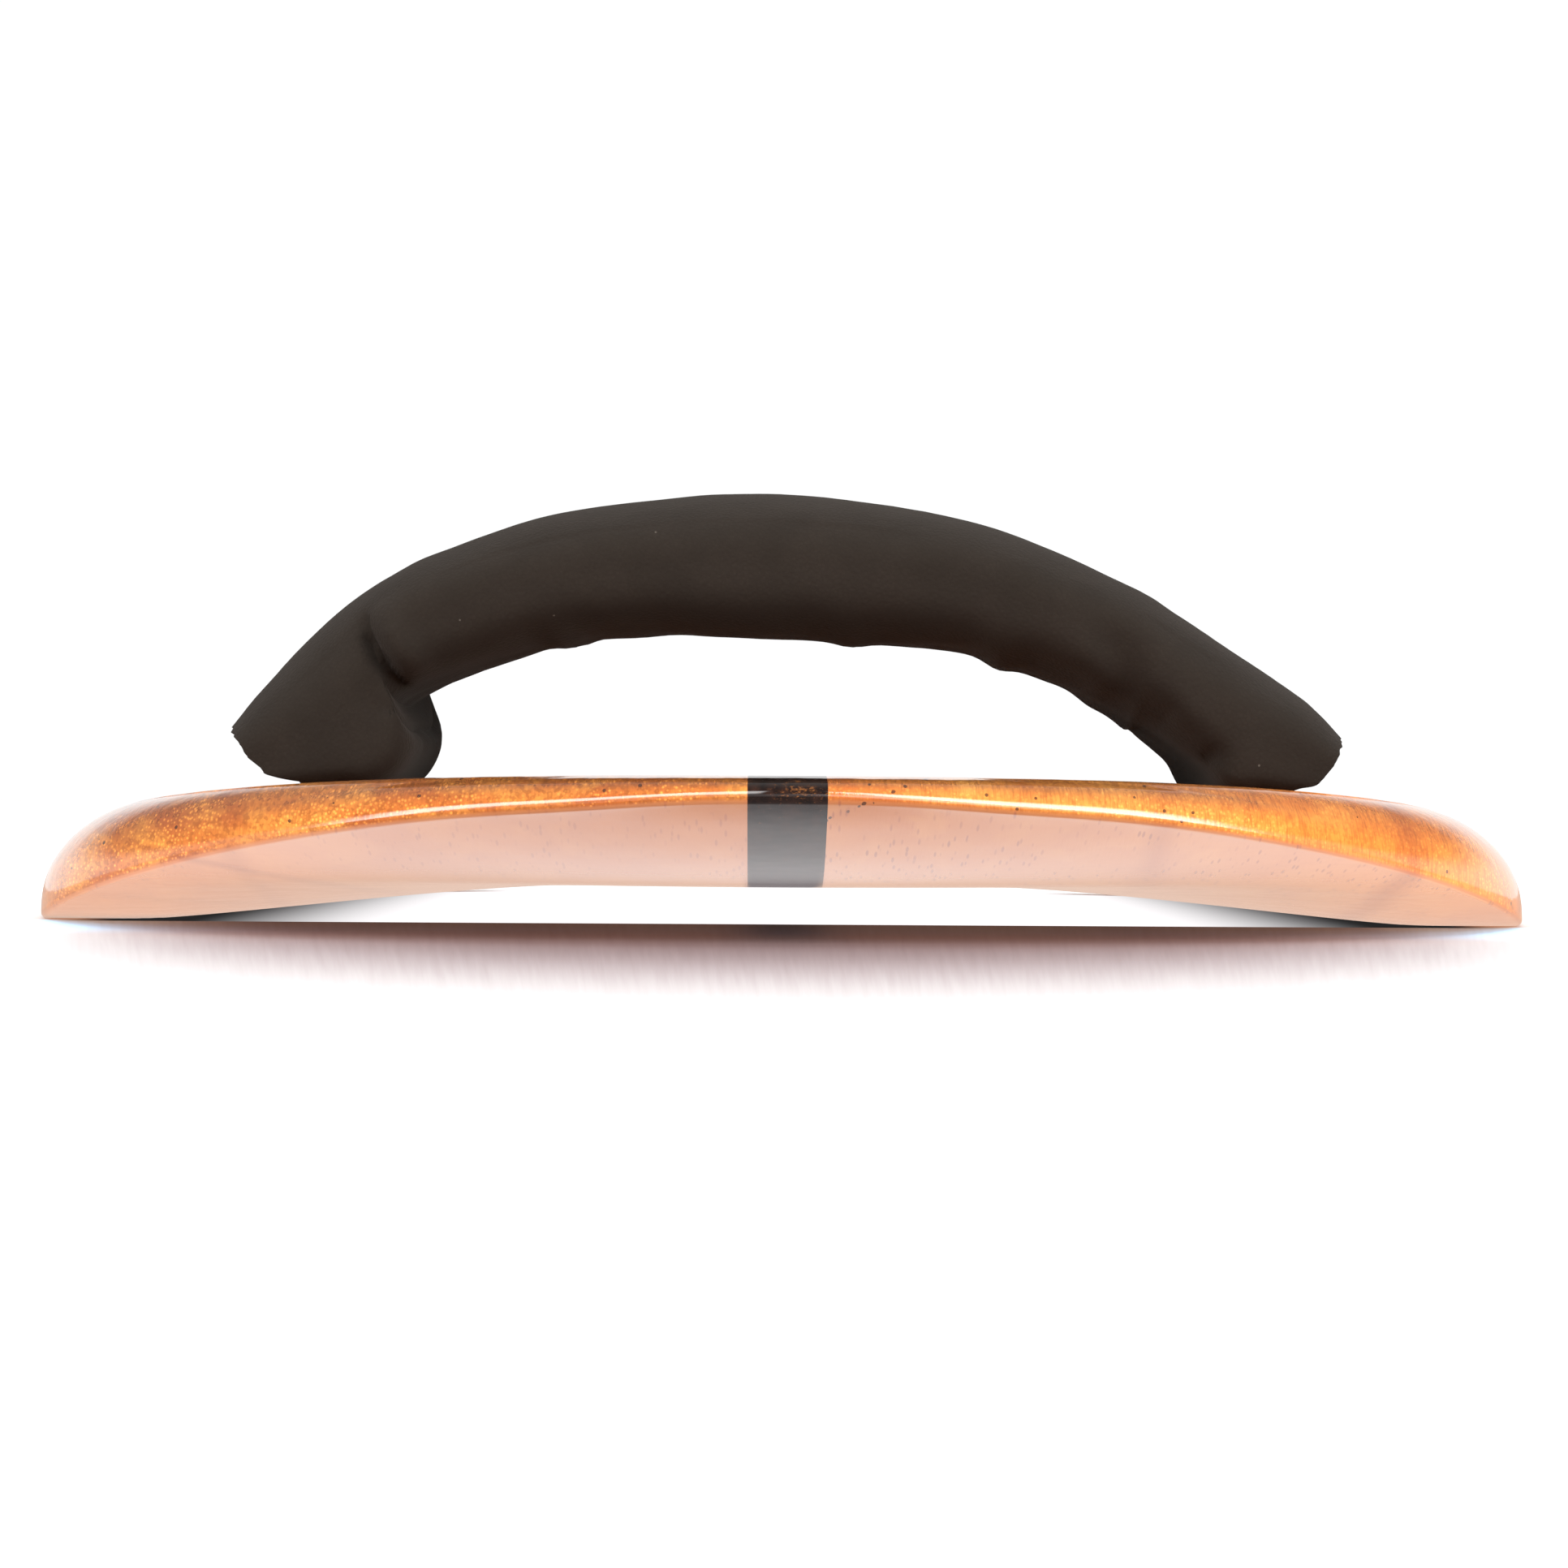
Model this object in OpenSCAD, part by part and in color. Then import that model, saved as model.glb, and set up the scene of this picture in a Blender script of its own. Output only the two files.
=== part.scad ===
// Bodysurfing handplane: a small wooden planing board with a padded neoprene hand strap.
// Frame: origin on the resting plane, under the middle of the board. +X runs to the right rail,
// +Y runs aft to the tail, so the nose points along -Y, and +Z is up. Units are millimetres.

/* [Board] */
// Length of the board, nose to tail
board_l = 300; // [280:1:340]
// Width at the widest point
board_w = 201; // [190:1:215]
// Height of the deck on the centre line, above the resting plane
deck_h = 19.2; // [18:0.1:22]
// Distance from the nose back to the widest point
wide_from_nose = 120; // [105:1:135]
// Exponent of the tail's outline: 2 is round, and larger values are squarer
tail_power = 3; // [2:0.1:4]
// Width of the dark centre stringer
stringer_w = 9; // [5:0.5:14]
// Greatest width of the rounded shoulder along the rail
rail_round = 16; // [12:1:24]

/* [Bottom] */
// Height of the nose tip's hard edge above the resting plane
nose_lift = 16.3; // [12:0.1:16.5]
// Distance from the nose back to where the rails reach the resting plane
rocker_l = 104; // [80:1:110]
// Depth of the single concave behind the nose, on the centre line
concave_h = 5.5; // [4:0.1:6]
// Depth of the concave at the tail, on the centre line
tail_concave_h = 6.5; // [4:0.1:7]
// Distance from the centre line to the flat strip along each rail
concave_half_w = 88; // [80:1:90]

/* [Strap] */
// Width of the strap, measured along the board
strap_w = 72; // [64:1:80]
// Distance from the middle of the board forward to the middle of the strap
strap_forward = 6; // [0:1:20]
// Slope of the strap, rising towards the tail, in degrees
strap_pitch = 3; // [0:0.5:5]
// Thickness of the neoprene sleeve's wall
sleeve_wall = 3.5; // [3:0.1:4]
// Gap between the padding and the sleeve around it
padding_gap = 0.3; // [0.2:0.1:0.6]

/* [Fixings] */
// Distance from the centre line to the left clamp bar
left_clamp_x = 61.5; // [61:0.1:62]
// Distance from the centre line to the right clamp bar
right_clamp_x = 65.3; // [65:0.1:65.5]
// Distance between the two screws of one clamp bar
screw_spacing = 40; // [34:1:42]
// Width of a clamp bar
bar_w = 10; // [9.6:0.1:10]
// Length of a clamp bar
bar_l = 54; // [50:1:56]
// Thickness of a clamp bar
bar_t = 2; // [1.5:0.1:2.5]
// Length of each screw under its head
screw_l = 16; // [15:1:16]

/* [Hidden] */
FIXINGS = ["left_front", "left_rear", "right_front", "right_rear"];
$fn = 48;

half_w = board_w / 2;
half_s = stringer_w / 2;
nose_y = -board_l / 2;
wide_y = nose_y + wide_from_nose;
tail_l = board_l - wide_from_nose;

// Shape of the deck and the bottom
rocker_power = 1.42;
keel_power = 2;
keel_run = 50;         // the centre line has come down to the concave's height this far from the nose
concave_power = 2;
shoulder_power = 2;
shoulder_share = 2;    // the shoulder is this many times as wide as the edge is thick, up to rail_round
deck_drop = 3.4;       // the dome falls this far at dome_x from the centre line
dome_x = 85;
strip_sink = 0.25;     // the rail strips are shaped this far low and then planed flat at z = 0

// Mesh of the board
stations = 64;
top_rows = 16;
bottom_rows = 10;

// M5 fixings
screw_r = 2.45;
thread_r = 2.5;
insert_r = 3.9;
insert_l = 10;
insert_bore_l = 11.5;
insert_sink = 0.3;
washer_r = 5;
washer_t = 1;
head_r = 4.75;
head_h = 2.75;
head_dome_r = 6.4;
socket_w = 3;
socket_h = 1.6;
clamped_wall = 3;      // thickness of the sleeve's lower wall where the bar presses it
clear = 0.2;

// The sleeve's sections along the arch, left to right. Each is [inner x, inner height, outer x,
// outer height]: where the section meets the underside and the crown of the strap, in the plane of
// the arch. Heights are above the top of the deck, and the first and last three sections lie on it.
foot_gap = 0.12;
function foot(x) = deck_z(x) - deck_h + foot_gap;
arch = [
    [-66.4, foot(66.4), -76.4, 8.2],
    [-60.0, foot(60.0), -72.8, 13.3],
    [-54.0, foot(54.0), -67.5, 19.3],
    [-50.3, 5.0, -60.9, 25.3],
    [-54.0, 9.4, -54.8, 29.3],
    [-46.0, 14.4, -48.0, 32.6],
    [-28.0, 20.0, -30.0, 38.3],
    [0.0, 20.2, -2.0, 40.9],
    [24.0, 18.7, 26.0, 37.3],
    [40.0, 13.7, 47.8, 28.9],
    [49.3, 8.3, 55.4, 24.4],
    [57.2, 3.0, 62.6, 19.7],
    [60.3, foot(60.3), 69.2, 15.4],
    [64.8, foot(64.8), 74.1, 11.6],
    [70.3, foot(70.3), 77.2, 7.8]
];
pitch_h = 15;          // the strap's slope is reached this far above the deck; its feet lie level
section_points = 32;
section_power = 3;
arch_steps = 3;        // rings from one section to the next
padding_from = 5;      // the padding runs from this section to the next one named
padding_to = 9;

// Board surfaces -------------------------------------------------------------

// Share of the way from the widest point to the nose or to the tail
function run(y) = y < wide_y ? (wide_y - y) / wide_from_nose : (y - wide_y) / tail_l;
function run_l(y) = y < wide_y ? wide_from_nose : tail_l;
function run_power(y) = y < wide_y ? 2 : tail_power;

// Half the board's width at y
function outline_x(y) = half_w * sqrt(max(0, 1 - pow(run(y), run_power(y))));

// Distance in from the outline, true close to it, from the outline's implicit form
function inset(x, y) =
    let (v = run(y), n = run_power(y),
         form = 1 - pow(x / half_w, 2) - pow(v, n),
         slope_x = 2 * x / pow(half_w, 2),
         slope_y = n * pow(v, n - 1) / run_l(y))
    max(0, form) / max(1e-6, sqrt(slope_x * slope_x + slope_y * slope_y));

// Bottom: the rail's rocker, and inside it a centre line that comes down faster, so that there is
// a slight belly under the nose and one concave from there to the tail
function aft(y) = y - nose_y;
function rail_z(y) =
    nose_lift * pow(max(0, 1 - aft(y) / rocker_l), rocker_power) - strip_sink * min(1, aft(y) / rocker_l);
function centre_z(y) =
    concave_h + (tail_concave_h - concave_h) * aft(y) / board_l
    + (nose_lift - concave_h) * pow(max(0, 1 - aft(y) / keel_run), keel_power);
function concave_w(y) = y < wide_y ? min(concave_half_w, max(half_s, outline_x(y))) : concave_half_w;
function centre_share(x, y) =
    pow(max(0, 1 - pow(abs(x) / concave_w(y), concave_power)), rocker_power);
function bottom_z(x, y) = rail_z(y) + (centre_z(y) - rail_z(y)) * centre_share(x, y);

// Deck: a slight dome, with a shoulder that rounds down to the rail
function deck_z(x) = deck_h - deck_drop * pow(abs(x) / dome_x, 3);
function shoulder_w(x, y) = min(rail_round, shoulder_share * (deck_z(x) - bottom_z(x, y)));
function shoulder(x, y) =
    let (e = min(1, inset(x, y) / shoulder_w(x, y)))
    pow(1 - pow(1 - e, shoulder_power), 1 / shoulder_power);
function top_z(x, y) =
    let (s = shoulder(x, y)) bottom_z(x, y) * (1 - s) + deck_z(x) * s;

// One cross-section between x_in and x_out: along the deck to x_out, and back along the bottom.
// Points crowd towards the rail, where the shoulder is steep.
function station(y, x_in, x_out) = concat(
    [for (i = [0 : top_rows])
        let (x = x_out - (x_out - x_in) * (1 - sin(90 * i / top_rows)))
        [x, y, i == top_rows ? bottom_z(x, y) : top_z(x, y)]],
    [for (i = [1 : bottom_rows])
        let (x = x_out - (x_out - x_in) * i / bottom_rows)
        [x, y, bottom_z(x, y)]]);

// Closed skin over rings of equal length, with a point at each end
function loft_points(rings, first, last) = concat([first], [for (r = rings) each r], [last]);
function loft_faces(rows, n) = concat(
    [for (k = [0 : n - 1]) [0, 1 + k, 1 + (k + 1) % n]],
    [for (j = [0 : rows - 2], k = [0 : n - 1])
        let (a = 1 + j * n + k, b = 1 + j * n + (k + 1) % n) each [[a, a + n, b], [b, a + n, b + n]]],
    [for (k = [0 : n - 1])
        let (base = 1 + (rows - 1) * n) [base + (k + 1) % n, base + k, 1 + rows * n]]);

// y of station i out of n, crowded towards the nose and the tail, from half angle -a to a
function station_y(i, n, a_nose, a_tail) =
    let (a = -a_nose + (a_nose + a_tail) * i / n)
    wide_y + (a < 0 ? wide_from_nose : tail_l) * sin(a);

// Angle at which the outline is as narrow as x
function narrow_angle(x, n) = asin(pow(1 - pow(x / half_w, 2), 1 / n));

module panel_blank() {
    a_nose = narrow_angle(half_s, 2);
    a_tail = narrow_angle(half_s, tail_power);
    ys = [for (i = [1 : stations - 1]) station_y(i, stations, a_nose, a_tail)];
    first_y = station_y(0, stations, a_nose, a_tail);
    last_y = station_y(stations, stations, a_nose, a_tail);
    rings = [for (y = ys) station(y, half_s, outline_x(y))];
    polyhedron(
        loft_points(rings, [half_s, first_y, bottom_z(half_s, first_y)],
                    [half_s, last_y, bottom_z(half_s, last_y)]),
        loft_faces(len(rings), top_rows + bottom_rows + 1));
}

module above_rest() {
    translate([-board_w, -board_l, 0]) cube([2 * board_w, 2 * board_l, 2 * deck_h]);
}

// A panel as the right-hand one, with its rail strip planed flat and its insert holes drilled.
// Shapes on one side are made as the right-hand ones, with the clamp at x, and mirrored.
module panel(x) {
    difference() {
        intersection() {
            panel_blank();
            above_rest();
        }
        at_fixings(x) translate([0, 0, -insert_bore_l]) cylinder(r = insert_r, h = 2 * insert_bore_l);
    }
}

// Fixings --------------------------------------------------------------------

// Children stand on the deck at x, with +Z square to the deck there
module on_deck(x) {
    slope = atan(3 * deck_drop * pow(x, 2) / pow(dome_x, 3));
    translate([x, -strap_forward, deck_z(x)]) rotate([0, slope, 0]) children();
}

module at_fixings(x) {
    on_deck(x) for (end = [-1, 1]) translate([0, end * screw_spacing / 2, 0]) children();
}

// One fixing: left or right, front (towards the nose) or rear
module at_fixing(left, front) {
    mirror([left ? 1 : 0, 0, 0]) on_deck(left ? left_clamp_x : right_clamp_x)
        translate([0, (front ? -1 : 1) * screw_spacing / 2, 0]) children();
}

module clamp_bar(x) {
    color([0.78, 0.78, 0.76])
    on_deck(x) translate([0, 0, clamped_wall]) difference() {
        linear_extrude(bar_t) union() {
            square([bar_w, bar_l - bar_w], center = true);
            for (end = [-1, 1]) translate([0, end * (bar_l - bar_w) / 2]) circle(d = bar_w);
        }
        for (end = [-1, 1]) translate([0, end * screw_spacing / 2, -1])
            cylinder(r = thread_r + clear, h = bar_t + 2);
    }
}

// Brass thread insert: a flanged sleeve with a ring of anti-turn ribs
module insert() {
    rib_count = 12;
    flange_t = 1.2;
    color([0.83, 0.66, 0.32])
    translate([0, 0, -insert_sink]) difference() {
        union() {
            translate([0, 0, -insert_l]) cylinder(r = insert_r - 0.35, h = insert_l);
            translate([0, 0, -flange_t]) cylinder(r = insert_r - 0.02, h = flange_t);
            for (k = [0 : rib_count - 1]) rotate([0, 0, k * 360 / rib_count])
                translate([insert_r - 0.8, -0.3, -insert_l + 1]) cube([0.7, 0.6, insert_l - 2]);
        }
        translate([0, 0, -insert_l - 1]) cylinder(r = thread_r, h = insert_l + 2);
    }
}

module washer() {
    color([0.8, 0.8, 0.8])
    translate([0, 0, clamped_wall + bar_t]) difference() {
        cylinder(r = washer_r, h = washer_t);
        translate([0, 0, -1]) cylinder(r = thread_r + clear, h = washer_t + 2);
    }
}

// Button-head screw with a hexagon socket
module screw() {
    seat = clamped_wall + bar_t + washer_t;
    color([0.82, 0.82, 0.83])
    translate([0, 0, seat]) difference() {
        union() {
            translate([0, 0, -screw_l]) cylinder(r = screw_r, h = screw_l + head_h / 2);
            intersection() {
                cylinder(r = head_r, h = head_h);
                translate([0, 0, head_h - head_dome_r]) sphere(r = head_dome_r);
            }
        }
        translate([0, 0, head_h - socket_h]) cylinder(d = socket_w / cos(30), h = socket_h + 1, $fn = 6);
    }
}

// Strap ----------------------------------------------------------------------

// Smooth curve through the list p: a Catmull-Rom step from p[i] to p[i + 1]
function blend_at(p, i, t) =
    let (a = p[max(0, i - 1)], b = p[i], c = p[i + 1], d = p[min(len(p) - 1, i + 2)])
    0.5 * (2 * b + (c - a) * t + (2 * a - 5 * b + 4 * c - d) * t * t
           + (3 * b - a - 3 * c + d) * t * t * t);
function smooth(p, first, last, steps) = concat(
    [for (i = [first : last - 1], k = [0 : steps - 1]) blend_at(p, i, k / steps)],
    [p[last]]);

function signed_pow(v, n) = sign(v) * pow(abs(v), n);

// One section of the strap, drawn in from the outer surface by skin
function strap_ring(s, skin) =
    let (inner = [s[0], s[1]], outer = [s[2], s[3]],
         mid = (inner + outer) / 2,
         up = (outer - inner) / norm(outer - inner),
         half_t = norm(outer - inner) / 2 - skin,
         half_y = strap_w / 2 - skin)
    [for (k = [0 : section_points - 1])
        let (a = 360 * k / section_points,
             rise = half_t * signed_pow(sin(a), 2 / section_power),
             along = half_y * signed_pow(cos(a), 2 / section_power),
             level = mid[1] + up[1] * rise,
             slope = tan(strap_pitch) * min(1, max(0, level / pitch_h)))
        [mid[0] + up[0] * rise, along - strap_forward, deck_h + level + slope * along]];

// Tube faces: the outer skin, the inner skin and a flat ring at each end
function tube_faces(rows, n) =
    let (inner = rows * n)
    concat(
        [for (j = [0 : rows - 2], k = [0 : n - 1])
            let (a = j * n + k, b = j * n + (k + 1) % n) each [[a, b, a + n], [b, b + n, a + n]]],
        [for (j = [0 : rows - 2], k = [0 : n - 1])
            let (a = inner + j * n + k, b = inner + j * n + (k + 1) % n)
            each [[a, a + n, b], [b, a + n, b + n]]],
        [for (k = [0 : n - 1]) let (a = k, b = (k + 1) % n)
            each [[a, a + inner, b], [b, a + inner, b + inner]]],
        [for (k = [0 : n - 1]) let (a = (rows - 1) * n + k, b = (rows - 1) * n + (k + 1) % n)
            each [[a, b, a + inner], [b, b + inner, a + inner]]]);

// Solid faces: one skin, with a flat face at each end
function bar_faces(rows, n) = concat(
    [[for (k = [n - 1 : -1 : 0]) k]],
    [for (j = [0 : rows - 2], k = [0 : n - 1])
        let (a = j * n + k, b = j * n + (k + 1) % n) each [[a, b, a + n], [b, b + n, a + n]]],
    [[for (k = [0 : n - 1]) (rows - 1) * n + k]]);

// The space that a clamp bar, its washers and its screws take out of the sleeve's lower wall
module clamp_pocket(x) {
    room_h = clamped_wall + bar_t + washer_t + head_h;
    on_deck(x) {
        translate([-bar_w / 2 - clear, -bar_l / 2 - clear, clamped_wall])
            cube([bar_w + 2 * clear, bar_l + 2 * clear, room_h - clamped_wall]);
        for (end = [-1, 1]) translate([0, end * screw_spacing / 2, -1])
            cylinder(r = thread_r + clear, h = clamped_wall + 2);
    }
}

module strap_sleeve() {
    sections = smooth(arch, 0, len(arch) - 1, arch_steps);
    outer = [for (s = sections) each strap_ring(s, 0)];
    inner = [for (s = sections) each strap_ring(s, sleeve_wall)];
    color([0.15, 0.14, 0.13]) difference() {
        polyhedron(concat(outer, inner), tube_faces(len(sections), section_points));
        clamp_pocket(right_clamp_x);
        mirror([1, 0, 0]) clamp_pocket(left_clamp_x);
    }
}

module strap_padding() {
    sections = smooth(arch, padding_from, padding_to, arch_steps);
    skin = sleeve_wall + padding_gap;
    color([0.3, 0.3, 0.32])
    polyhedron([for (s = sections) each strap_ring(s, skin)], bar_faces(len(sections), section_points));
}

// Wood -----------------------------------------------------------------------

module left_panel() { color([0.78, 0.44, 0.18]) mirror([1, 0, 0]) panel(left_clamp_x); }
module right_panel() { color([0.8, 0.47, 0.2]) panel(right_clamp_x); }

module centre_stringer() {
    ys = [for (i = [1 : stations - 1]) station_y(i, stations, 90, 90)];
    widths = [for (y = ys) min(half_s, outline_x(y))];
    rows = 6;
    rings = [for (i = [0 : len(ys) - 1]) let (y = ys[i], w = widths[i]) concat(
        [for (k = [0 : rows]) let (x = -w + 2 * w * k / rows) [x, y, top_z(x, y)]],
        [for (k = [0 : rows]) let (x = w - 2 * w * k / rows) [x, y, bottom_z(x, y)]])];
    color([0.13, 0.08, 0.06])
    polyhedron(
        loft_points(rings, [0, nose_y, nose_lift], [0, -nose_y, bottom_z(0, -nose_y)]),
        loft_faces(len(rings), 2 * rows + 2));
}

left_panel();
right_panel();
centre_stringer();
strap_sleeve();
strap_padding();
mirror([1, 0, 0]) clamp_bar(left_clamp_x);  // left_clamp_bar
clamp_bar(right_clamp_x);  // right_clamp_bar
for (i = [0 : len(FIXINGS) - 1]) {
    left = i < 2;
    front = i % 2 == 0;
    at_fixing(left, front) insert();
    at_fixing(left, front) washer();
    at_fixing(left, front) screw();
}
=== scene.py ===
import math

import bpy
import numpy as np
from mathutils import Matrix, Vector, noise


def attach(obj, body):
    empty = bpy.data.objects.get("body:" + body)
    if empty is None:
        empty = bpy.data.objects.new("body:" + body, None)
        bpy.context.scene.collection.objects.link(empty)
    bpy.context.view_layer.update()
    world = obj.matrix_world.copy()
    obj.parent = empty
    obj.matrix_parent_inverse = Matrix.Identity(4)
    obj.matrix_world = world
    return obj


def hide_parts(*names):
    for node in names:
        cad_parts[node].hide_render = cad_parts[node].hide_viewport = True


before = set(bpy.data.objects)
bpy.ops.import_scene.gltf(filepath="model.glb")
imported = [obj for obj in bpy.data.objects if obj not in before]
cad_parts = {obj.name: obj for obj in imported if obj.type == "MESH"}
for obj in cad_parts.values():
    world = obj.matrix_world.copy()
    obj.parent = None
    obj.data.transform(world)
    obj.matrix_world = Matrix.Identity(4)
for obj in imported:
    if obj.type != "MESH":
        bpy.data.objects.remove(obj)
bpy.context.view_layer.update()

# Shapes are worked out in millimetres, in the frame that part.scad uses: the nose points along -Y.
MM = 0.001

# ---------------------------------------------------------------- camera
cam_data = bpy.data.cameras.new("camera")
cam_data.lens = 102.9
cam_data.sensor_width = 36
cam_data.clip_start = 0.02
cam_data.clip_end = 50
camera = bpy.data.objects.new("camera", cam_data)
bpy.context.scene.collection.objects.link(camera)
camera.location = (-0.0033, -0.650, 0.0170)
camera.rotation_euler = (math.radians(90.14), math.radians(-0.33), math.radians(-0.33))
bpy.context.scene.camera = camera
bpy.context.scene.view_settings.view_transform = "Standard"
bpy.context.scene.view_settings.look = "None"


# ---------------------------------------------------------------- node helpers
class Tree:
    """Builds a node tree. A value is a socket, a number or a tuple."""

    def __init__(self, tree):
        self.tree = tree
        tree.nodes.clear()

    def node(self, kind, **settings):
        n = self.tree.nodes.new(kind)
        for key, value in settings.items():
            setattr(n, key, value)
        return n

    def put(self, socket, value):
        if isinstance(value, bpy.types.NodeSocket):
            self.tree.links.new(value, socket)
        elif isinstance(value, (tuple, list)) and len(value) == 3 and socket.type == "RGBA":
            socket.default_value = (*value, 1)
        else:
            socket.default_value = value

    def math(self, op, a, b=0.0, c=None):
        n = self.node("ShaderNodeMath", operation=op)
        self.put(n.inputs[0], a)
        self.put(n.inputs[1], b)
        if c is not None:
            self.put(n.inputs[2], c)
        return n.outputs[0]

    def times(self, first, *others):
        for other in others:
            first = self.math("MULTIPLY", first, other)
        return first

    def line(self, value, slope, start):
        """start + slope * value"""
        return self.math("MULTIPLY_ADD", value, slope, start)

    def rest(self, value):
        """What is left of 1."""
        return self.math("SUBTRACT", 1.0, value)

    def mix(self, share, a, b):
        n = self.node("ShaderNodeMix", data_type="RGBA")
        self.put(n.inputs[0], share)
        self.put(n.inputs[6], a)
        self.put(n.inputs[7], b)
        return n.outputs[2]

    def ramp(self, value, low, high, to_low=0.0, to_high=1.0):
        """Goes smoothly from to_low, where value is low, to to_high."""
        n = self.node("ShaderNodeMapRange", interpolation_type="SMOOTHSTEP")
        for i, v in enumerate((value, low, high, to_low, to_high)):
            self.put(n.inputs[i], v)
        return n.outputs[0]

    def hit(self, value, at, reach):
        """1 where value is at, falling to 0 a reach away on either side."""
        return self.ramp(self.math("ABSOLUTE", self.math("SUBTRACT", value, at)), 0, reach, 1, 0)

    def coords(self, scale=(1, 1, 1), rotation=(0, 0, 0), offset=(0, 0, 0), source="Object"):
        c = self.node("ShaderNodeTexCoord")
        m = self.node("ShaderNodeMapping")
        self.put(m.inputs["Vector"], c.outputs[source])
        m.inputs["Scale"].default_value = scale
        m.inputs["Rotation"].default_value = rotation
        m.inputs["Location"].default_value = offset
        return m.outputs[0]

    def parts(self, vector):
        n = self.node("ShaderNodeSeparateXYZ")
        self.put(n.inputs[0], vector)
        return n.outputs

    def place(self):
        """X, Y and Z in millimetres."""
        return self.parts(self.coords((1000, 1000, 1000)))

    def tilt_z(self):
        """The Z part of the surface's direction: 1 faces up and -1 faces down."""
        return self.parts(self.node("ShaderNodeNewGeometry").outputs["Normal"])[2]

    def noise(self, vector, scale=1.0, detail=2.0, rough=0.5, distortion=0.0):
        n = self.node("ShaderNodeTexNoise")
        self.put(n.inputs["Vector"], vector)
        settings = {"Scale": scale, "Detail": detail, "Roughness": rough, "Distortion": distortion}
        for key, v in settings.items():
            self.put(n.inputs[key], v)
        return n.outputs["Fac"]

    def cells(self, vector):
        """Scattered points: the distance to the nearest one, and two random numbers that it has."""
        n = self.node("ShaderNodeTexVoronoi", feature="F1")
        self.put(n.inputs["Vector"], vector)
        self.put(n.inputs["Scale"], 1.0)
        draws = self.parts(n.outputs["Color"])
        return n.outputs["Distance"], draws[0], draws[1]

    def bump(self, height, distance, strength=1.0, normal=None):
        n = self.node("ShaderNodeBump")
        self.put(n.inputs["Height"], height)
        self.put(n.inputs["Distance"], distance)
        self.put(n.inputs["Strength"], strength)
        if normal is not None:
            self.put(n.inputs["Normal"], normal)
        return n.outputs[0]

    def principled(self, **values):
        n = self.node("ShaderNodeBsdfPrincipled")
        for key, v in values.items():
            self.put(n.inputs[key.replace("_", " ")], v)
        return n.outputs[0]

    def finish(self, shader, kind="ShaderNodeOutputMaterial"):
        self.put(self.node(kind).inputs["Surface"], shader)


def material(name):
    m = bpy.data.materials.new(name)
    m.use_nodes = True
    return m, Tree(m.node_tree)


def darker(colour, share):
    return tuple(share * c for c in colour)


# ---------------------------------------------------------------- mesh helpers
def new_mesh(name, points, faces, sharp=50):
    """A mesh object from points in millimetres, smooth but for edges over a number of degrees."""
    me = bpy.data.meshes.new(name)
    me.from_pydata([tuple(p) for p in np.asarray(points) * MM], [], [tuple(int(i) for i in f) for f in faces])
    me.validate()
    me.polygons.foreach_set("use_smooth", [True] * len(me.polygons))
    me.set_sharp_from_angle(angle=math.radians(sharp))
    ob = bpy.data.objects.new(name, me)
    bpy.context.scene.collection.objects.link(ob)
    return ob


def grid_faces(rows, cols, start=0, flip=False, closed=False):
    """Faces between rows of points, left open or closed into a tube."""
    out = []
    for i in range(rows - 1):
        here, there = start + i * cols, start + (i + 1) * cols
        for j in range(cols if closed else cols - 1):
            k = (j + 1) % cols
            q = (here + j, here + k, there + k, there + j)
            out.append(q[::-1] if flip else q)
    return out


def without_repeats(face):
    """A face without the corners that fall together."""
    return [v for k, v in enumerate(face) if v not in face[:k]]


def bell(v):
    return np.exp(-v * v)


# ---------------------------------------------------------------- board shape, as in part.scad
HALF_W, HALF_S = 100.5, 4.5  # half the width of the board and of its stringer
NOSE_Y, WIDE_Y, TAIL_Y = -150.0, -30.0, 150.0
FRONT_L, TAIL_L, LENGTH = WIDE_Y - NOSE_Y, TAIL_Y - WIDE_Y, TAIL_Y - NOSE_Y
FRONT_POWER, TAIL_POWER = 2.0, 3.0  # the outline is an ellipse in front and squarer behind

DECK_H = 19.2  # the deck's middle line above the floor
DECK_DROP, DECK_DROP_X = 3.4, 85  # how far the deck has dropped, this far out

ROCKER_H, ROCKER_L, ROCKER_POWER = 16.3, 104, 1.42  # the rail's rise towards the nose
RAIL_SINK = 0.25  # how far the rail runs below the floor before it is cut flat
DIP_H, DIP_X, DIP_HALF_W, DIP_L = 0.36, 25, 12, 40  # a dip of the rim on each side of the stringer
CONCAVE_H, CONCAVE_GAIN = 5.5, 1.0  # the height of the hollow below, and what it gains up to the tail
CONCAVE_X, CONCAVE_POWER = 88, 1.42  # half the hollow's width, and the power of its curve
SCOOP_H, SCOOP_L = 10.8, 50  # how much the hollow deepens at the nose, and over what length

SHOULDER_W = 16  # the widest that the curve from deck to rim gets
SHOULDER_SHARE = 2.0  # how wide it is where the board is thin, as a share of the thickness
SHOULDER_POWER, SHOULDER_GAIN, SHOULDER_X = 1.95, 0.3, 90  # its power, and what that gains this far out
RIM_R = 0.8  # radius of the varnished edge between shoulder and bottom


def along_outline(y):
    """How far y is from the widest place to the nose or tail, the outline's power there and that length."""
    front = y < WIDE_Y
    way = np.where(front, (WIDE_Y - y) / FRONT_L, (y - WIDE_Y) / TAIL_L)
    return way, np.where(front, FRONT_POWER, TAIL_POWER), np.where(front, FRONT_L, TAIL_L)


def outline_x(y):
    way, power, _ = along_outline(y)
    return HALF_W * np.sqrt(np.clip(1 - np.clip(way, 0, 1) ** power, 0, None))


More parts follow.
